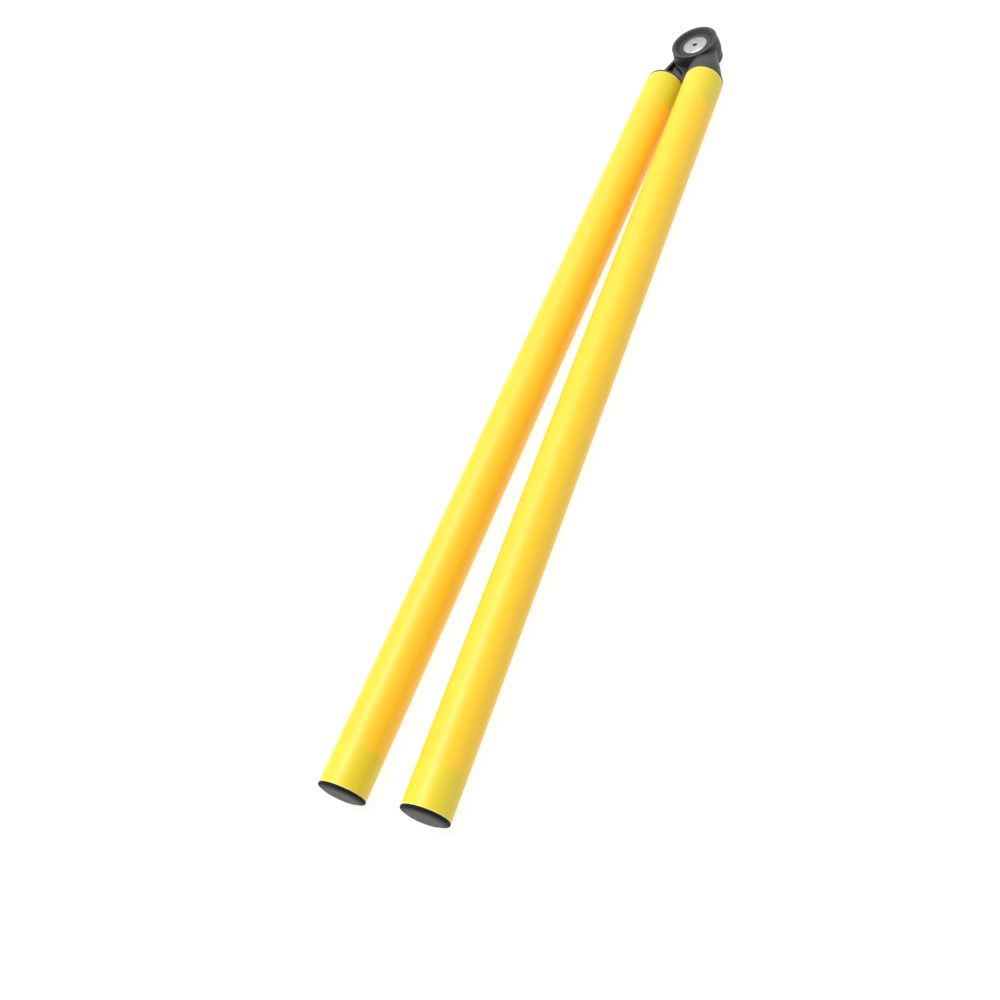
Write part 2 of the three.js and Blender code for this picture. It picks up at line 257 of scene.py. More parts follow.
class Turning:
    """Field of a turned solid: its outline's distance on a fine flat grid, looked up between
    the grid's points by radius and height."""

    FINE = 0.06

    def __init__(self, outline, reach=4.0):
        self.low = outline.min(0) - reach
        self.low[0] = max(self.low[0], 0)
        counts = ((outline.max(0) + reach - self.low) / self.FINE).astype(int) + 2
        across, along = (self.low[k] + np.arange(counts[k]) * self.FINE for k in (0, 1))
        self.table = outline_distance(*np.meshgrid(across, along, indexing="ij"), outline)

    def __call__(self, radius, height):
        u = (radius - self.low[0]) / self.FINE
        v = (height - self.low[1]) / self.FINE
        last_u, last_v = self.table.shape[0] - 1.001, self.table.shape[1] - 1.001
        beyond = np.hypot(u - np.clip(u, 0, last_u), v - np.clip(v, 0, last_v)) * self.FINE
        u, v = np.clip(u, 0, last_u), np.clip(v, 0, last_v)
        i, j = u.astype(int), v.astype(int)
        u, v = u - i, v - j
        near = self.table[i, j] * (1 - v) + self.table[i, j + 1] * v
        far = self.table[i + 1, j] * (1 - v) + self.table[i + 1, j + 1] * v
        return near * (1 - u) + far * u + beyond


def joined(a, b, fillet):
    """Either solid: the lesser field, lowered by a parabola where both are within reach."""
    near = np.maximum(fillet - np.abs(a - b), 0)
    return np.minimum(a, b) - near ** 2 / (4 * fillet)


def shared(a, b, edge):
    """What both solids hold: the greater field, raised in the same way."""
    return -joined(-a, -b, edge)


def skinned(field, low, step):
    """Closed surface where a field on a grid is zero. Each cell that the surface passes gets
    one point, the mean of where its edges cross zero, and each crossed grid edge gets one face
    between the four cells round it."""
    corners = np.array([(i, j, k) for i in (0, 1) for j in (0, 1) for k in (0, 1)])
    pairs = [(a, b) for a in range(8) for b in range(a) if abs(corners[a] - corners[b]).sum() == 1]
    inside = field < 0
    size = np.array(field.shape) - 1
    held = sum(
        inside[i:i + size[0], j:j + size[1], k:k + size[2]].astype(np.int8) for i, j, k in corners
    )
    cells = np.argwhere((held > 0) & (held < 8))
    values = [field[tuple((cells + corner).T)] for corner in corners]
    total, count = np.zeros(cells.shape), np.zeros(len(cells))
    for a, b in pairs:
        crossed = (values[a] < 0) != (values[b] < 0)
        share = values[a] / np.where(crossed, values[a] - values[b], 1)
        total += np.where(crossed, 1, 0)[:, None] * (
            corners[a] + share[:, None] * (corners[b] - corners[a]))
        count += crossed
    points = low + (cells + total / count[:, None]) * step
    number = np.zeros(size, int)
    number[tuple(cells.T)] = np.arange(len(cells))
    faces = []
    for axis in range(3):
        one, two = (axis + 1) % 3, (axis + 2) % 3
        window = [slice(1, -1)] * 3
        window[axis] = slice(0, -1)
        starts = inside[tuple(window)]
        window[axis] = slice(1, None)
        stops = inside[tuple(window)]
        for outward in (True, False):
            edges = np.argwhere((starts == outward) & (stops != outward)) + 1
            edges[:, axis] -= 1
            around = []
            for back_one, back_two in ((1, 1), (0, 1), (0, 0), (1, 0)):
                cell = edges.copy()
                cell[:, one] -= back_one
                cell[:, two] -= back_two
                around.append(number[tuple(cell.T)])
            quads = np.stack(around, 1)
            faces.append(quads if outward else quads[:, ::-1])
    return points, np.concatenate(faces)


def slope_of(shape, points, reach=0.02):
    """Gradient of a field at points, from its values a little to either side."""
    out = np.empty(points.shape)
    for axis in range(3):
        step = np.zeros(3)
        step[axis] = reach
        out[:, axis] = (shape(*(points + step).T) - shape(*(points - step).T)) / (2 * reach)
    return out


EYE_SECTION = Turning(rounded([
    (PIN_HOLE_RADIUS, WASHER_SEAT, 0.2),
    (WASHER_RADIUS + SLIP_GAP, WASHER_SEAT, 0.2),
    (WASHER_RADIUS + SLIP_GAP, MATING_FACE, 0.15),
    (FOOT_RADIUS, MATING_FACE, 0.25),
    (FOOT_RADIUS, MATING_FACE + FOOT_HEIGHT, 2.0),
    (EYE_RADIUS, EYE_TOP - 2.2, 0.2),
    (EYE_RADIUS - RIM_GROOVE_DEPTH, EYE_TOP - 1.9, 0.2),
    (EYE_RADIUS - RIM_GROOVE_DEPTH, EYE_TOP - 1.5, 0.2),
    (EYE_RADIUS, EYE_TOP - 1.2, 0.3),
    (EYE_RADIUS, EYE_TOP, 0.6),
    (EYE_RADIUS - RIM_WIDTH, EYE_TOP, 0.5),
    (EYE_RADIUS - RIM_WIDTH - DISH_SLOPE, DISH_FLOOR, 0.6),
    (COUNTERBORE_RADIUS, DISH_FLOOR, 0.35),
    (COUNTERBORE_RADIUS, COUNTERBORE_FLOOR, 0.2),
    (PIN_HOLE_RADIUS, COUNTERBORE_FLOOR, 0.2),
    (PIN_HOLE_RADIUS, WASHER_SEAT, 0.2),
]))


def plug_wall(free_end, seat):
    """Outer wall of a plug: a lead-in chamfer and two shallow grooves for glue."""
    wall = [(PLUG_RADIUS - CHAMFER, free_end, 0.2), (PLUG_RADIUS, free_end + CHAMFER, 0.2)]
    for share in GLUE_GROOVES:
        middle = free_end + (seat - free_end) * share
        bottom, top = middle - GLUE_GROOVE_HALF, middle + GLUE_GROOVE_HALF
        wall += [
            (PLUG_RADIUS, bottom, 0.15),
            (PLUG_RADIUS - GLUE_GROOVE_DEPTH, bottom, 0.15),
            (PLUG_RADIUS - GLUE_GROOVE_DEPTH, top, 0.15),
            (PLUG_RADIUS, top, 0.15),
        ]
    return wall


COLLAR_RADIUS = TUBE_RADIUS - 0.1
PLUG_SECTION = Turning(rounded([
    (0, COLLAR_SEAT, 0),
    (PLUG_HOLLOW, COLLAR_SEAT, 0.5),
    (PLUG_HOLLOW, LEAF_PLUG_END, 0.2),
    *plug_wall(LEAF_PLUG_END, COLLAR_SEAT),
    (PLUG_RADIUS, COLLAR_SEAT, 0.2),
    (COLLAR_RADIUS - 0.4, COLLAR_SEAT, 0.1),
    (COLLAR_RADIUS, COLLAR_SEAT + 0.4, 0.2),
    (COLLAR_RADIUS, COLLAR_TOP, 0.35),
    (0, COLLAR_TOP, 0),
    (0, COLLAR_SEAT, 0),
]))

NECK_TIP_ANGLE = math.radians(12.5)
TIP_RIGHT = EYE_RADIUS * math.cos(NECK_TIP_ANGLE)
TIP_Y = -EYE_RADIUS * math.sin(NECK_TIP_ANGLE)
TIP_WIDTH = 10.3
TIP_HEIGHT = 3.2
ROOT_RADIUS = TUBE_RADIUS - 0.2
EDGE = 0.35
SMALL_EDGE = 0.2
FILLET = 0.9
COLLAR_FILLET = 0.3

# The pocket stops at a curved wall round the eye and at a straight ledge.
POCKET_EYE_WALL = 15.0
POCKET_LEDGE = 14.9
LEDGE_ACROSS, LEDGE_ALONG = 0.746, -0.666  # direction square to the ledge
POCKET_CORNER = 0.8

# The stop: a lug on each leaf's joint face runs in the other leaf's groove. Each has its inner
# and outer radius, the angle of its middle, half its angle, and its lowest and highest level.
STOP_GROOVE = (10.0, 12.6, -45, 95.67, -2, 1.85)
STOP_LUG = (10.3, 12.3, 135, 4, -1.25, 1.15)


def neck_field(x, y, z):
    """Arch that shrinks from a half circle at the collar to a low, squarer one at the eye: the
    norm (|across / half width|^n + |up / height|^n)^(1/n), less 1, over the norm's gradient."""
    share = np.clip((y - COLLAR_TOP) / (TIP_Y - COLLAR_TOP), 0, 1)
    middle = TUBE_AXIS + share * (TIP_RIGHT - TIP_WIDTH / 2 - TUBE_AXIS)
    half_width = ROOT_RADIUS + share * (TIP_WIDTH / 2 - ROOT_RADIUS)
    height = ROOT_RADIUS - MATING_FACE + share * (TIP_HEIGHT - ROOT_RADIUS + MATING_FACE)
    n = 2 + 3 * share
    a = np.abs(x - middle) / half_width + 1e-6
    b = np.maximum(z - MATING_FACE, 0) / height + 1e-6
    norm = (a ** n + b ** n) ** (1 / n)
    gradient = norm ** (1 - n) * np.hypot(a ** (n - 1) / half_width, b ** (n - 1) / height)
    return (norm - 1) / gradient * 0.96


def arc_block(x, y, z, inner, outer, middle_angle, half_angle, low, high):
    """Field of a piece of a ring about Z: the greatest of its distances past each face."""
    radius = np.hypot(x, y)
    turn = np.degrees(np.arctan2(y, x)) - middle_angle
    turn = np.abs((turn + 180) % 360 - 180) - half_angle
    return np.maximum.reduce([
        inner - radius, radius - outer, np.radians(turn) * radius, low - z, z - high])


def leaf_field(x, y, z):
    """Eye, neck, collar and plug joined with fillets, less the pocket under the neck and the
    stop's groove, plus the stop's lug."""
    radius = np.hypot(x, y)
    arch = neck_field(x, y, z)
    neck = shared(arch, MATING_FACE - z, EDGE)
    neck = np.maximum.reduce([neck, y - TIP_Y, COLLAR_SEAT + 0.6 - y, EYE_RADIUS - 1 - radius])
    past_ledge = LEDGE_ACROSS * x + LEDGE_ALONG * y
    pocket = np.maximum(POCKET_EYE_WALL - radius, POCKET_LEDGE - past_ledge)
    pocket = shared(arch + MOULD_WALL, pocket, POCKET_CORNER)
    pocket = shared(pocket, COLLAR_TOP - y, POCKET_CORNER)
    plug = PLUG_SECTION(np.hypot(x - TUBE_AXIS, z), y)
    body = joined(EYE_SECTION(radius, z), neck, FILLET)
    body = joined(body, plug, COLLAR_FILLET)
    body = shared(body, -pocket, EDGE)
    body = shared(body, -arc_block(x, y, z, *STOP_GROOVE), SMALL_EDGE)
    return joined(body, arc_block(x, y, z, *STOP_LUG), SMALL_EDGE)


LEAF_STEP = 0.31
CREASE_REACH = 0.4


def leaf_surface():
    """The leaf's field on a grid, skinned, then each point slid down the field's slope to
    exactly zero, and its normal taken from that slope."""
    low = leaf_low - 2.5 * LEAF_STEP
    counts = ((leaf_high + 2.5 * LEAF_STEP - low) / LEAF_STEP).astype(int) + 1
    axes = [low[k] + np.arange(counts[k]) * LEAF_STEP for k in range(3)]
    grid = np.meshgrid(*axes, indexing="ij")
    points, faces = skinned(leaf_field(*grid), low, LEAF_STEP)
    for _ in range(3):
        slope = slope_of(leaf_field, points)
        steep = np.maximum((slope ** 2).sum(1), 0.25)
        slide = leaf_field(*points.T) / steep
        points = points - slope * np.clip(slide, -0.1, 0.1)[:, None]
    slope = slope_of(leaf_field, points, 0.05)
    normals = slope / np.linalg.norm(slope, axis=1)[:, None]
    # how far the surface falls away all round a point, from the field's second differences
    reach = CREASE_REACH
    around = sum(leaf_field(*(points + sign * reach * np.eye(3)[k]).T)
                 for k in range(3) for sign in (1, -1))
    bend = (around - 6 * leaf_field(*points.T)) / reach ** 2
    # the last value is the painted highlight, strongest where the surface bends most sharply
    return points, normals, faces.tolist(), np.clip((bend - 0.4) / 2, 0, 1)


# ---------------------------------------------------------------- materials


def linear(code):
    """Linear red, green, blue and alpha from an sRGB hex code."""
    parts = [int(code[i:i + 2], 16) / 255 for i in (1, 3, 5)]
    return [c / 12.92 if c <= 0.04045 else ((c + 0.055) / 1.055) ** 2.4 for c in parts] + [1]


def add(tree, kind, inputs=None, **settings):
    """Adds a node with its settings. Each named or numbered input gets a value, or a link from
    a socket or from a node's first output."""
    made = tree.nodes.new(kind)
    for name, value in settings.items():
        setattr(made, name, value)
    for socket, value in (inputs or {}).items():
        if isinstance(value, bpy.types.Node):
            value = value.outputs[0]
        if isinstance(value, bpy.types.NodeSocket):
            tree.links.new(value, made.inputs[socket])
        else:
            made.inputs[socket].default_value = value
    return made


def surfaced(name, values):
    """A new node material, its tree, and its shader with its own values set."""
    material = bpy.data.materials.new(name)
    material.use_nodes = True
    shader = material.node_tree.nodes["Principled BSDF"]
    for socket, value in values.items():
        shader.inputs[socket].default_value = value
    return material, material.node_tree, shader


def millimetres(tree, centre, turn=0.0, stretch=(1, 1, 1)):
    """Object coordinates in mm from a scene place, turned about Z and stretched."""
    cos, sin = math.cos(turn), math.sin(turn)
    x, y, z = (c / MM for c in centre)
    return add(tree, "ShaderNodeMapping", {
        "Vector": add(tree, "ShaderNodeTexCoord").outputs["Object"],
        "Location": [-(x * cos - y * sin) * stretch[0], -(x * sin + y * cos) * stretch[1],
                     -z * stretch[2]],
        "Rotation": (0, 0, turn),
        "Scale": [s / MM for s in stretch],
    })


def yellow_tube_plastic(side):
    """Extruded plastic tube, coloured yellow in the mass: lemon in the light and orange in the
    shade, with a satin skin and faint lines along it from the die. The wall lets light through,
    so where a black plug fills it the colour is painted duller and greener, a painted shade.
    Its cut ends are painted paler, a painted highlight on their rounded edges."""
    material, tree, shader = surfaced(
        f"extruded_yellow_plastic_{side}", {"Roughness": 0.42, "IOR": 1.47})
    turn = -SIDES[side][1] * half_opening
    where = millimetres(tree, pivot, turn)
    # the same, drawn out along the tube, so that patches become lines 1 to 2 mm wide
    drawn_out = add(tree, "ShaderNodeVectorMath", {0: where, 1: (1, 0.004, 1)},
                    operation="MULTIPLY")
    along = add(tree, "ShaderNodeSeparateXYZ", {0: where}).outputs["Y"]
    cloud = add(tree, "ShaderNodeTexNoise", {"Vector": where, "Scale": 1 / 35, "Detail": 3.0})
    lines = add(tree, "ShaderNodeTexNoise", {
        "Vector": drawn_out, "Scale": 1 / 1.5, "Detail": 3.0})
    skin = add(tree, "ShaderNodeTexNoise", {"Vector": where, "Scale": 1 / 1.2, "Detail": 2.0})

    colour = add(tree, "ShaderNodeMix", {
        0: cloud, 6: linear("#FFD02E"), 7: linear("#FECA26"),
    }, data_type="RGBA").outputs[2]
    line_shade = add(tree, "ShaderNodeMapRange", {
        "Value": lines, "From Min": 0.3, "From Max": 0.7, "To Min": 0.975, "To Max": 1.01})
    colour = add(tree, "ShaderNodeMix", {
        0: 1.0, 6: colour, 7: line_shade,
    }, data_type="RGBA", blend_type="MULTIPLY").outputs[2]
    # painted shade over the plugs, where less light comes through the wall: 1 within either plug's
    # reach, fading over a few mm
    plug_shade = add(tree, "ShaderNodeMath", {
        0: add(tree, "ShaderNodeMapRange", {
            "Value": along, "From Min": LEAF_PLUG_END - 3.5, "From Max": LEAF_PLUG_END + 2.5,
        }, interpolation_type="SMOOTHSTEP"),
        1: add(tree, "ShaderNodeMapRange", {
            "Value": along, "From Min": CAP_PLUG_END + 3.5, "From Max": CAP_PLUG_END - 2.5,
        }, interpolation_type="SMOOTHSTEP"),
    }, operation="ADD")
    colour = add(tree, "ShaderNodeMix", {
        0: plug_shade, 6: colour, 7: linear("#E6D02E"),
    }, data_type="RGBA").outputs[2]
    # painted highlight along the rounded cut ends: 1 over the last few tenths of a mm at each end
    cut_end_highlight = add(tree, "ShaderNodeMath", {
        0: add(tree, "ShaderNodeMapRange", {
            "Value": along, "From Min": MOUTH - 0.75, "From Max": MOUTH - 0.35}),
        1: add(tree, "ShaderNodeMapRange", {
            "Value": along, "From Min": TUBE_END + 0.6, "From Max": TUBE_END + 0.3}),
    }, operation="ADD")
    colour = add(tree, "ShaderNodeMix", {
        0: cut_end_highlight, 6: colour, 7: linear("#FFF08A"),
    }, data_type="RGBA").outputs[2]
    tree.links.new(colour, shader.inputs["Base Color"])
    tree.links.new(add(tree, "ShaderNodeMapRange", {
        "Value": lines, "From Min": 0.3, "From Max": 0.7, "To Min": 0.38, "To Max": 0.47,
    }).outputs[0], shader.inputs["Roughness"])
    bump = add(tree, "ShaderNodeBump", {"Strength": 0.25, "Distance": 0.02 * MM, "Height": skin})
    bump = add(tree, "ShaderNodeBump", {
        "Strength": 0.3, "Distance": 0.03 * MM, "Height": lines, "Normal": bump})
    tree.links.new(bump.outputs[0], shader.inputs["Normal"])
    return material


def black_moulded_nylon(name, dark, light, painted_light_colour, gloss, dull, shiny):
    """Injection-moulded black nylon from a spark-eroded mould: charcoal, satin, with a fine
    grain that softens its reflections, flow marks that change its sheen a little, and a
    painted highlight that makes sharply bent edges paler. The grain is drawn at 0.35 mm, twice
    the real size, to show. The caps come from a rougher mould than the leaves, so they are
    duller; they are painted blacker, a painted shade on the band next to the tube, and their
    end faces are painted grey, a painted light."""
    material, tree, shader = surfaced(
        name, {"Roughness": 0.5, "IOR": 1.53, "Specular IOR Level": gloss})
    where = millimetres(tree, pivot)
    flow = add(tree, "ShaderNodeTexNoise", {"Vector": where, "Scale": 1 / 7, "Detail": 3.0})
    grain = add(tree, "ShaderNodeTexNoise", {"Vector": where, "Scale": 1 / 0.35, "Detail": 2.0})
    # 0 to 1: the painted highlight on the leaves' bent edges and the painted light on the caps'
    #         end faces
    painted_light_share = add(tree, "ShaderNodeAttribute", attribute_name="edge").outputs["Fac"]
    colour = add(tree, "ShaderNodeMix", {
        0: flow, 6: linear(dark), 7: linear(light),
    }, data_type="RGBA").outputs[2]
    speckle = add(tree, "ShaderNodeMapRange", {
        "Value": grain, "From Min": 0.3, "From Max": 0.7, "To Min": 0.9, "To Max": 1.1})
    colour = add(tree, "ShaderNodeMix", {
        0: 1.0, 6: colour, 7: speckle,
    }, data_type="RGBA", blend_type="MULTIPLY").outputs[2]
    # paints that highlight and light in, in the paler colour
    colour = add(tree, "ShaderNodeMix", {
        0: painted_light_share, 6: colour, 7: linear(painted_light_colour),
    }, data_type="RGBA").outputs[2]
    tree.links.new(colour, shader.inputs["Base Color"])
    tree.links.new(add(tree, "ShaderNodeMapRange", {
        "Value": flow, "From Min": 0.3, "From Max": 0.7, "To Min": shiny, "To Max": dull,
    }).outputs[0], shader.inputs["Roughness"])
    bump = add(tree, "ShaderNodeBump", {"Strength": 0.35, "Distance": 0.04 * MM, "Height": grain})
    tree.links.new(bump.outputs[0], shader.inputs["Normal"])
    return material


def turned_rivet_steel():
    """Nickel-plated steel, turned on a lathe: light grey and satin, with fine rings round the
    axis that spread its reflections, and a slightly cloudy plating."""
    material, tree, shader = surfaced(
        "turned_plated_steel", {"Metallic": 1.0, "Roughness": 0.34})
    where = millimetres(tree, pivot)
    # a ring texture's bands are 0.314 units apart at scale 1, so these are 0.45 mm apart
    rings = add(tree, "ShaderNodeTexWave", {
        "Vector": where, "Scale": 0.314 / 0.45, "Distortion": 0.6, "Detail": 2.0,
    }, wave_type="RINGS", rings_direction="Z")
    cloud = add(tree, "ShaderNodeTexNoise", {"Vector": where, "Scale": 1 / 2.5, "Detail": 3.0})
    colour = add(tree, "ShaderNodeMix", {
        0: cloud, 6: linear("#A8A8A6"), 7: linear("#B8B8B6"),
    }, data_type="RGBA").outputs[2]
    # painted shade in the dimple: darker near the axis, below either head's face
    split = add(tree, "ShaderNodeSeparateXYZ", {0: where}).outputs
    level = add(tree, "ShaderNodeMath", {0: split["Z"]}, operation="ABSOLUTE")
    from_axis = add(tree, "ShaderNodeVectorMath", {
        0: add(tree, "ShaderNodeVectorMath", {0: where, 1: (1, 1, 0)}, operation="MULTIPLY"),
    }, operation="LENGTH").outputs["Value"]
    dimple_shade = add(tree, "ShaderNodeMath", {
        0: add(tree, "ShaderNodeMapRange", {
            "Value": level, "From Min": HEAD_TOP + 0.05,
            "From Max": HEAD_TOP - DIMPLE_DEPTH / 2}),
        1: add(tree, "ShaderNodeMapRange", {
            "Value": from_axis, "From Min": DIMPLE_RADIUS + 0.3, "From Max": DIMPLE_RADIUS}),
    }, operation="MULTIPLY")
    colour = add(tree, "ShaderNodeMix", {
        0: dimple_shade, 6: colour, 7: linear("#3A3936"),
    }, data_type="RGBA").outputs[2]
    tree.links.new(colour, shader.inputs["Base Color"])
    tree.links.new(add(tree, "ShaderNodeMapRange", {
        "Value": cloud, "From Min": 0.3, "From Max": 0.7, "To Min": 0.3, "To Max": 0.42,
    }).outputs[0], shader.inputs["Roughness"])
    bump = add(tree, "ShaderNodeBump", {"Strength": 0.3, "Distance": 0.01 * MM, "Height": rings})
    tree.links.new(bump.outputs[0], shader.inputs["Normal"])
    return material


def tempered_spring_steel():
    """Hardened and tempered spring steel strip: darker and bluer than the rivet, with a rolled
    grain and straw-coloured patches from the oven."""
    material, tree, shader = surfaced(
        "tempered_spring_steel", {"Metallic": 1.0, "Roughness": 0.4})
    where = millimetres(tree, pivot)
    patches = add(tree, "ShaderNodeTexNoise", {"Vector": where, "Scale": 1 / 3, "Detail": 2.0})
    rolled = add(tree, "ShaderNodeTexNoise", {
        "Vector": millimetres(tree, pivot, stretch=(0.05, 1, 1)), "Scale": 1 / 0.2})
    colour = add(tree, "ShaderNodeMix", {
        0: patches, 6: linear("#7F858E"), 7: linear("#9C9384"),
    }, data_type="RGBA").outputs[2]
    tree.links.new(colour, shader.inputs["Base Color"])
    bump = add(tree, "ShaderNodeBump", {"Strength": 0.3, "Distance": 0.01 * MM, "Height": rolled})
    tree.links.new(bump.outputs[0], shader.inputs["Normal"])
    return material


def natural_nylon():
    """Washer punched from natural nylon sheet: milky, waxy and slightly mottled."""
    material, tree, shader = surfaced("natural_nylon_sheet", {
        "Roughness": 0.5, "IOR": 1.53, "Subsurface Weight": 0.15, "Subsurface Scale": MM})
    where = millimetres(tree, pivot)
    mottle = add(tree, "ShaderNodeTexNoise", {"Vector": where, "Scale": 1 / 2, "Detail": 3.0})
    colour = add(tree, "ShaderNodeMix", {
        0: mottle, 6: linear("#E9E6DC"), 7: linear("#DAD6C8"),
    }, data_type="RGBA").outputs[2]
    tree.links.new(colour, shader.inputs["Base Color"])
    bump = add(tree, "ShaderNodeBump", {"Strength": 0.2, "Distance": 0.02 * MM, "Height": mottle})
    tree.links.new(bump.outputs[0], shader.inputs["Normal"])
    return material


YELLOW = {side: yellow_tube_plastic(side) for side in SIDES}
# the leaves: their paler edges are a painted highlight
BLACK = black_moulded_nylon(
    "black_nylon_satin", dark="#31312F", light="#3B3B39", painted_light_colour="#5E5E5D",
    gloss=0.25, dull=0.5, shiny=0.4)
# the caps: painted blacker, a painted shade on the band next to the tube; their end faces get a
# painted light
DULL_SHADED_BLACK = black_moulded_nylon(
    "black_nylon_dull_painted_shade", dark="#121212", light="#181817", painted_light_colour="#626261",
    gloss=0.15, dull=0.7, shiny=0.6)
RIVET_STEEL = turned_rivet_steel()
SPRING_STEEL = tempered_spring_steel()
NYLON = natural_nylon()

# ---------------------------------------------------------------- the pieces

TUBE_OUTLINE = rounded([
    (BORE_RADIUS, TUBE_END, 0.2),
    (TUBE_RADIUS, TUBE_END, 0.4),
    (TUBE_RADIUS, MOUTH, 0.4),
    (BORE_RADIUS, MOUTH, 0.2),
    (BORE_RADIUS, TUBE_END, 0.2),
])

# Heights run from the cap's seat on the tube's end to its face.
CAP_HEIGHT = CAP_SEAT - STICK_END
CAP_BAND = 0.7
CAP_DOME_EDGE = 3.25  # how far in from the cap's side its face turns down
# where the painted light on a cap's end face begins, and how far it fades in
LIT_FACE_START, LIT_FACE_FADE = 1.3, 0.6
CAP_OUTLINE = rounded([
    (0, 0, 0),
    (PLUG_HOLLOW, 0, 0.5),
    (PLUG_HOLLOW, CAP_SEAT - CAP_PLUG_END, 0.2),
    *plug_wall(CAP_SEAT - CAP_PLUG_END, 0),
    (PLUG_RADIUS, 0, 0.15),
    (TUBE_RADIUS, 0, 0.15),
    (TUBE_RADIUS, CAP_BAND, 0.2),
    (TUBE_RADIUS - 0.55, CAP_BAND + 0.4, 0.2),
    (TUBE_RADIUS - CAP_DOME_EDGE, CAP_HEIGHT, 0.6),
    (0, CAP_HEIGHT, 0),
])

# A head is slightly crowned and has a cone-shaped dimple with a soft lip.
HEAD = [
    (HEAD_RADIUS, HEAD_SEAT, 0.1),
    (HEAD_RADIUS, HEAD_TOP - 0.2, 0.5),
    (HEAD_RADIUS * 0.75, HEAD_TOP, 3.0),
    (HEAD_RADIUS * 0.4, HEAD_TOP + 0.15, 2.0),
    (DIMPLE_RADIUS, HEAD_TOP + HEAD_CROWN, 0.35),
    (DIMPLE_RADIUS / 2, HEAD_TOP - DIMPLE_DEPTH + 0.1, 0.2),
    (0, HEAD_TOP - DIMPLE_DEPTH, 0),
]
POST_OUTLINE = rounded([
    (0, post_low[2], 0),
    (POST_RADIUS, post_low[2], 0.4),
    (POST_RADIUS, HEAD_SEAT, 0.3),
    *HEAD,
])
BARREL_OUTLINE = rounded([
    (0, HEAD_SEAT, 0),
    (POST_RADIUS + SLIP_GAP, HEAD_SEAT, 0.3),
    (POST_RADIUS + SLIP_GAP, barrel_low[2], 0.2),
    (BARREL_RADIUS, barrel_low[2], 0.3),
    (BARREL_RADIUS, HEAD_SEAT, 0.3),
    *HEAD,
])
WASHER_OUTLINE = rounded([
    (PIN_HOLE_RADIUS, -WASHER_HALF, 0.15),
    (WASHER_RADIUS, -WASHER_HALF, 0.15),
    (WASHER_RADIUS, WASHER_HALF, 0.15),
    (PIN_HOLE_RADIUS, WASHER_HALF, 0.15),
    (PIN_HOLE_RADIUS, -WASHER_HALF, 0.15),
])
WAVES = 3
WAVE_RISE = 0.1
SPRING_OUTLINE = rounded([
    (PIN_HOLE_RADIUS, spring_low[2] + WAVE_RISE, 0.1),
    (spring_high[0], spring_low[2] + WAVE_RISE, 0.1),
    (spring_high[0], spring_high[2] - WAVE_RISE, 0.1),
    (PIN_HOLE_RADIUS, spring_high[2] - WAVE_RISE, 0.1),
    (PIN_HOLE_RADIUS, spring_low[2] + WAVE_RISE, 0.1),
])
TURNED_OVER = np.array([1, -1, -1])  # half a turn about X

TUBE_ROUND, CAP_ROUND, RIVET_ROUND, WASHER_ROUND, SPRING_ROUND = 192, 144, 128, 96, 144


def mark_painted_light(made, painted_light_amount):
    """Stores at each point how much painted light it gets, from 0 to 1, for the black material to
    read: a painted highlight on the leaves' bent edges and a painted light on the caps' end faces.
    """
    made.data.attributes.new("edge", "FLOAT", "POINT").data.foreach_set("value", painted_light_amount)


leaf_points, leaf_normals, leaf_faces, leaf_edge_highlight = leaf_surface()
for side in SIDES:
    points, normals, faces = turned(TUBE_OUTLINE, TUBE_ROUND)
    points = points + [TUBE_AXIS, 0, 0]
    piece(f"{side}_yellow_tube", points, normals, faces, side, f"{side}_tube",
          YELLOW[side])
    points, normals, faces = turned(CAP_OUTLINE, CAP_ROUND)
    points = points * TURNED_OVER + [TUBE_AXIS, CAP_SEAT, 0]
    cap = piece(f"{side}_black_cap", points, normals * TURNED_OVER, faces, side,
                f"{side}_end_cap", DULL_SHADED_BLACK)
    # painted light on the end face, out to its rounded edge
    mark_painted_light(cap, np.clip((CAP_SEAT - LIT_FACE_START - points[:, 1]) / LIT_FACE_FADE, 0, 1))
    leaf = piece(f"{side}_black_leaf", leaf_points, leaf_normals, leaf_faces, side,
                 f"{side}_hinge_leaf", BLACK)
    # painted highlight on the leaf's sharply bent edges
    mark_painted_light(leaf, leaf_edge_highlight)

points, normals, faces = turned(POST_OUTLINE, RIVET_ROUND)
piece("steel_rivet_post", upright(points), upright(normals), faces, "front", "rivet_post",
      RIVET_STEEL)
points, normals, faces = turned(BARREL_OUTLINE, RIVET_ROUND)
piece("steel_rivet_barrel", upright(points) * TURNED_OVER, upright(normals) * TURNED_OVER, faces,
      "front", "rivet_barrel", RIVET_STEEL)
points, normals, faces = turned(WASHER_OUTLINE, WASHER_ROUND)
piece("nylon_washer", upright(points), upright(normals), faces, "front", "friction_washer",
      NYLON)

# A wave washer is a flat ring raised by the rise times the cosine of three times the angle.
points, normals, faces = turned(SPRING_OUTLINE, SPRING_ROUND)
points, normals = upright(points), upright(normals)
points[:, 2] += WAVE_RISE * np.cos(WAVES * np.arctan2(points[:, 1], points[:, 0]))
for side, over in (("front", 1), ("rear", TURNED_OVER)):
    piece(f"{side}_spring_washer", points * over, normals * over, faces, "front",
          f"{side}_wave_washer", SPRING_STEEL)

# ---------------------------------------------------------------- camera, floor and light


def look(position, forward, right, lens):
    """Camera at a place, looking along forward with right to the right, with a 36 mm sensor."""
    camera = bpy.data.objects.new("camera", bpy.data.cameras.new("camera"))
    bpy.context.scene.collection.objects.link(camera)
    back = -Vector(forward).normalized()
    side = (Vector(right) - Vector(right).dot(back) * back).normalized()
    up = back.cross(side)
    camera.matrix_world = Matrix((
        (side.x, up.x, back.x, position[0]),
        (side.y, up.y, back.y, position[1]),
        (side.z, up.z, back.z, position[2]),
        (0, 0, 0, 1),
    ))
    camera.data.sensor_width = 36
    camera.data.lens = lens
    camera.data.clip_end = 20
    bpy.context.scene.camera = camera


look(
    position=pivot + Vector((0.31137, -0.59862, 0.44122)),
    forward=(-0.52549, 0.43459, -0.73143),
    right=(0.84678, 0.35065, -0.40002),
    lens=43.214,
)


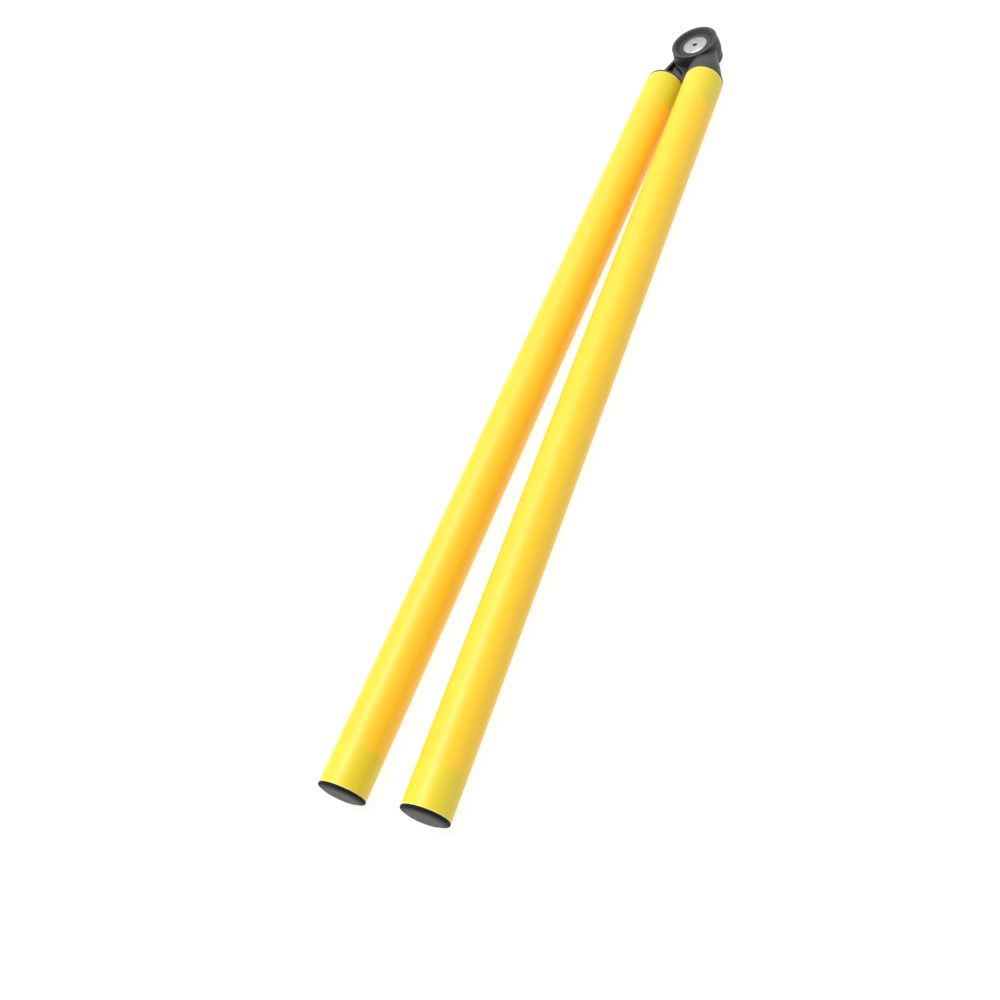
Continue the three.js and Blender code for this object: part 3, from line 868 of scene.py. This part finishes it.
def pale_floor():
    """White acrylic sheet lit softly from below, so that shadows on it stay faint."""
    material, tree, shader = surfaced("lit_white_acrylic", {
        "Roughness": 0.8, "Emission Color": (1, 1, 1, 1), "Emission Strength": 0.9})
    where = add(tree, "ShaderNodeTexCoord").outputs["Object"]
    cloud = add(tree, "ShaderNodeTexNoise", {"Vector": where, "Scale": 3.0, "Detail": 2.0})
    tree.links.new(add(tree, "ShaderNodeMix", {
        0: cloud, 6: linear("#666666"), 7: linear("#626262"),
    }, data_type="RGBA").outputs[2], shader.inputs["Base Color"])
    return material


FLOOR_HALF = 3.0  # metres
corners = np.array([(-1, -1, 0), (1, -1, 0), (1, 1, 0), (-1, 1, 0)]) * FLOOR_HALF
mesh = bpy.data.meshes.new("floor")
mesh.from_pydata(corners.tolist(), [], [(0, 1, 2, 3)])
mesh.materials.append(pale_floor())
floor = bpy.data.objects.new("floor", mesh)
bpy.context.scene.collection.objects.link(floor)

# A soft light above, a little to the left and behind, in a white room that is brighter behind
# the stick and on its left, and dimmer in front and on its right.
key = bpy.data.objects.new("key", bpy.data.lights.new("key", "SUN"))
key.data.energy = 2.3
key.data.angle = 0.6
TO_KEY = Vector((-0.16, 0.2, 0.95))
key.rotation_euler = TO_KEY.to_track_quat("Z", "Y").to_euler()
bpy.context.scene.collection.objects.link(key)

BRIGHT_SIDE = (-0.77, 0.64, 0)  # direction of the room's brightest wall
room = bpy.data.worlds.new("studio")
room.use_nodes = True
tree = room.node_tree
across = add(tree, "ShaderNodeVectorMath", {
    0: add(tree, "ShaderNodeTexCoord").outputs["Generated"], 1: BRIGHT_SIDE,
}, operation="DOT_PRODUCT").outputs["Value"]
strength = add(tree, "ShaderNodeMapRange", {
    "Value": across, "From Min": -0.7, "From Max": 0.7, "To Min": 0.36, "To Max": 1.0})
tree.links.new(strength.outputs[0], tree.nodes["Background"].inputs["Strength"])
tree.nodes["Background"].inputs["Color"].default_value = (1, 1, 1, 1)
bpy.context.scene.world = room
bpy.context.scene.view_settings.view_transform = "Standard"
